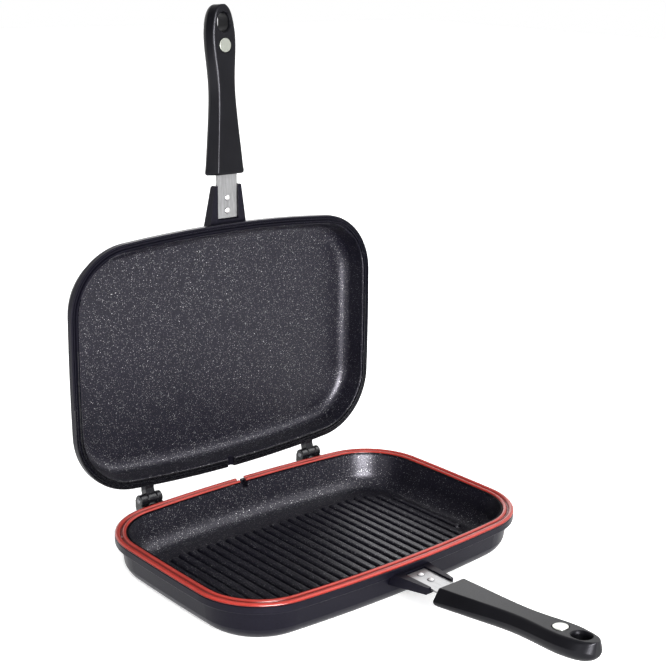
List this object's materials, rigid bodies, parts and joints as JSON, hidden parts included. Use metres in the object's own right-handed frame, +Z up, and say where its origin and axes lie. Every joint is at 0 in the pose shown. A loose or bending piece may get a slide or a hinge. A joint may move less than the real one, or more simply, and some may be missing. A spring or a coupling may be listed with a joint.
{
  "type": "double sided flip pan",
  "caption": "Rectangular hinged double frying pan: ribbed lower pan with red sealing strip, flat-floored upper pan, long dark grips with magnets.",
  "frame": {"origin": "middle of the lower pan's flat underside", "axes": "+X along the hinge line, -Y towards the handles, +Y towards the hinges, +Z up; stored with the upper pan open, resting on its stops"},
  "size_m": [0.3604, 0.4999, 0.501],
  "materials": {
    "coating_dark": "dark satin non-stick coating with fine pale specks",
    "silicone_red": "satin silicone",
    "grip_black": "satin heat-proof moulding",
    "plate_steel": "brushed",
    "rivet_metal": "bright",
    "magnet_metal": "satin plated",
    "pin_steel": "plain"
  },
  "bodies": {
    "lower_half": {"lower_pan": "coating_dark", "gasket": "silicone_red", "hinge_pins": "pin_steel", "lower_plate": "plate_steel", "lower_rivets": "rivet_metal", "lower_grip": "grip_black", "lower_magnet": "magnet_metal"},
    "lid": {"upper_pan": "coating_dark", "upper_plate": "plate_steel", "upper_rivets": "rivet_metal", "upper_grip": "grip_black", "upper_magnet": "magnet_metal"}
  },
  "joints": [
    {"name": "lid_hinge", "type": "hinge", "parent": "lower_half", "child": "lid", "pos_m": [0, 0.1327, 0.03985], "axis": [1, 0, 0], "range_deg": [0, 91]}
  ]
}
